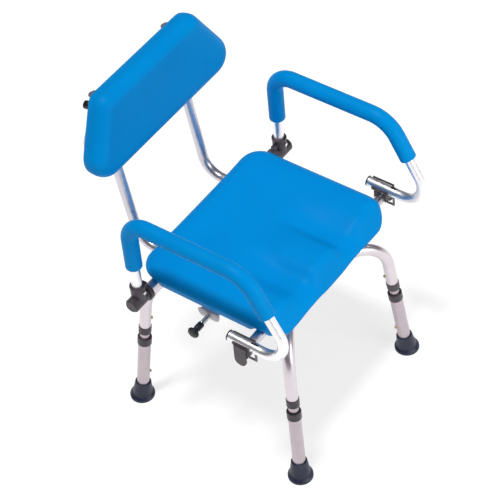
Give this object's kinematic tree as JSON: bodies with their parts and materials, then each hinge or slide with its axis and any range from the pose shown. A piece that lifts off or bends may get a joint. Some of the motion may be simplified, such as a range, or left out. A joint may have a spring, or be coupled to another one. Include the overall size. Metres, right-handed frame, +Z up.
{
  "type": "swivel shower chair",
  "caption": "Swivel shower chair with a blue moulded seat and back, swing-up arms and height-adjustable aluminium legs.",
  "frame": {"origin": "on the floor, at the middle of the chair's box: midway between its sides, and midway between its front and its rear", "axes": "+Z up, +X to the sitter's left as they face -Y, which is the front; a viewer in front of the chair sees +X on the right"},
  "size_m": [0.564, 0.5651, 0.8133],
  "materials": {
    "base_tube": "satin anodised",
    "leg_tube": "satin anodised",
    "frame_tube": "satin anodised",
    "arm_tube": "satin anodised",
    "steel_plate": "zinc plated, brushed",
    "screws": "bright plated",
    "nylon": "natural nylon",
    "dark_plastic": "fine moulded grain",
    "black_plastic": "moulded, slightly shiny",
    "clips": "plated, a little dull",
    "foot_rubber": "moulded rubber, satin",
    "blue_foam": "integral-skin foam, fine grain",
    "grip_foam": "integral-skin foam, fine grain",
    "board": "moulded, fine grain",
    "bracket_paint": "satin grey paint",
    "spring_steel": "bright drawn wire",
    "lever_steel": "dark plated"
  },
  "bodies": {
    "base": {"front_base_tube": "base_tube", "rear_base_tube": "base_tube", "base_plate": "steel_plate", "base_screws": "screws", "swivel_post": "screws", "thrust_ring": "nylon", "leg_collars": "dark_plastic", "inner_tube_front_left": "leg_tube", "inner_tube_front_right": "leg_tube", "inner_tube_rear_left": "leg_tube", "inner_tube_rear_right": "leg_tube"},
    "seat": {"seat_cushion": "blue_foam", "seat_board": "board", "front_cross_tube": "frame_tube", "rear_cross_tube": "frame_tube", "side_rails": "frame_tube", "swivel_plate": "steel_plate", "board_screws": "screws", "plunger_bracket": "bracket_paint", "plunger_spring": "spring_steel", "back_tubes": "frame_tube", "back_board": "board", "back_cushion": "blue_foam", "back_knobs": "black_plastic"},
    "plunger": {"plunger_pin": "spring_steel", "plunger_knob": "black_plastic"},
    "leg_front_left": {"outer_tube_front_left": "leg_tube", "leg_bush_front_left": "dark_plastic", "foot_front_left": "foot_rubber"},
    "leg_button_front_left": {"leg_clip_front_left": "clips"},
    "height_button_front_left": {"height_clip_front_left": "clips"},
    "leg_front_right": {"outer_tube_front_right": "leg_tube", "leg_bush_front_right": "dark_plastic", "foot_front_right": "foot_rubber"},
    "leg_button_front_right": {"leg_clip_front_right": "clips"},
    "height_button_front_right": {"height_clip_front_right": "clips"},
    "leg_rear_left": {"outer_tube_rear_left": "leg_tube", "leg_bush_rear_left": "dark_plastic", "foot_rear_left": "foot_rubber"},
    "leg_button_rear_left": {"leg_clip_rear_left": "clips"},
    "height_button_rear_left": {"height_clip_rear_left": "clips"},
    "leg_rear_right": {"outer_tube_rear_right": "leg_tube", "leg_bush_rear_right": "dark_plastic", "foot_rear_right": "foot_rubber"},
    "leg_button_rear_right": {"leg_clip_rear_right": "clips"},
    "height_button_rear_right": {"height_clip_rear_right": "clips"},
    "arm_left": {"arm_tube_left": "arm_tube", "arm_grip_left": "grip_foam", "arm_bracket_left": "dark_plastic", "arm_screw_left": "screws", "arm_plug_left": "black_plastic", "latch_body_left": "dark_plastic"},
    "latch_left": {"latch_lever_left": "lever_steel"},
    "arm_right": {"arm_tube_right": "arm_tube", "arm_grip_right": "grip_foam", "arm_bracket_right": "dark_plastic", "arm_screw_right": "screws", "arm_plug_right": "black_plastic", "latch_body_right": "dark_plastic"},
    "latch_right": {"latch_lever_right": "lever_steel"}
  },
  "joints": [
    {"name": "seat_swivel", "type": "hinge", "parent": "base", "child": "seat", "pos_m": [0, -0.04318, 0.38], "axis": [0, 0, 1], "continuous": true},
    {"name": "plunger_draw", "type": "slide", "parent": "seat", "child": "plunger", "axis": [-1, 0, 0], "range_m": [0, 0.0045], "stiffness_N_per_m": 900, "deforming": ["plunger_spring"]},
    {"name": "leg_extend_front_left", "type": "slide", "parent": "base", "child": "leg_front_left", "axis": [-0.0917, -0.0917, -0.9916], "range_m": [0, 0.0762]},
    {"name": "leg_press_front_left", "type": "slide", "parent": "base", "child": "leg_button_front_left", "axis": [-0.7011, -0.7011, 0.1297], "range_m": [0, 0.0055], "stiffness_N_per_m": 600, "springref_m": -0.003},
    {"name": "height_press_front_left", "type": "slide", "parent": "base", "child": "height_button_front_left", "axis": [-0.7011, -0.7011, 0.1297], "range_m": [0, 0.0055], "stiffness_N_per_m": 600, "springref_m": -0.003},
    {"name": "leg_extend_front_right", "type": "slide", "parent": "base", "child": "leg_front_right", "axis": [0.0917, -0.0917, -0.9916], "range_m": [0, 0.0762]},
    {"name": "leg_press_front_right", "type": "slide", "parent": "base", "child": "leg_button_front_right", "axis": [0.7011, -0.7011, 0.1297], "range_m": [0, 0.0055], "stiffness_N_per_m": 600, "springref_m": -0.003},
    {"name": "height_press_front_right", "type": "slide", "parent": "base", "child": "height_button_front_right", "axis": [0.7011, -0.7011, 0.1297], "range_m": [0, 0.0055], "stiffness_N_per_m": 600, "springref_m": -0.003},
    {"name": "leg_extend_rear_left", "type": "slide", "parent": "base", "child": "leg_rear_left", "axis": [-0.0917, 0.0917, -0.9916], "range_m": [0, 0.0762]},
    {"name": "leg_press_rear_left", "type": "slide", "parent": "base", "child": "leg_button_rear_left", "axis": [-0.7011, 0.7011, 0.1297], "range_m": [0, 0.0055], "stiffness_N_per_m": 600, "springref_m": -0.003},
    {"name": "height_press_rear_left", "type": "slide", "parent": "base", "child": "height_button_rear_left", "axis": [-0.7011, 0.7011, 0.1297], "range_m": [0, 0.0055], "stiffness_N_per_m": 600, "springref_m": -0.003},
    {"name": "leg_extend_rear_right", "type": "slide", "parent": "base", "child": "leg_rear_right", "axis": [0.0917, 0.0917, -0.9916], "range_m": [0, 0.0762]},
    {"name": "leg_press_rear_right", "type": "slide", "parent": "base", "child": "leg_button_rear_right", "axis": [0.7011, 0.7011, 0.1297], "range_m": [0, 0.0055], "stiffness_N_per_m": 600, "springref_m": -0.003},
    {"name": "height_press_rear_right", "type": "slide", "parent": "base", "child": "height_button_rear_right", "axis": [0.7011, 0.7011, 0.1297], "range_m": [0, 0.0055], "stiffness_N_per_m": 600, "springref_m": -0.003},
    {"name": "arm_swing_left", "type": "hinge", "parent": "seat", "child": "arm_left", "pos_m": [-0.254, 0.09082, 0.399], "axis": [-1, 0, 0], "range_deg": [0, 95]},
    {"name": "latch_release_left", "type": "hinge", "parent": "arm_left", "child": "latch_left", "pos_m": [-0.254, -0.20118, 0.42279], "axis": [-1, 0, 0], "range_deg": [0, 6], "stiffness_Nm_per_rad": 0.4, "springref_deg": -11.46},
    {"name": "arm_swing_right", "type": "hinge", "parent": "seat", "child": "arm_right", "pos_m": [0.254, 0.09082, 0.399], "axis": [-1, 0, 0], "range_deg": [0, 95]},
    {"name": "latch_release_right", "type": "hinge", "parent": "arm_right", "child": "latch_right", "pos_m": [0.254, -0.20118, 0.42279], "axis": [-1, 0, 0], "range_deg": [0, 6], "stiffness_Nm_per_rad": 0.4, "springref_deg": -11.46}
  ]
}
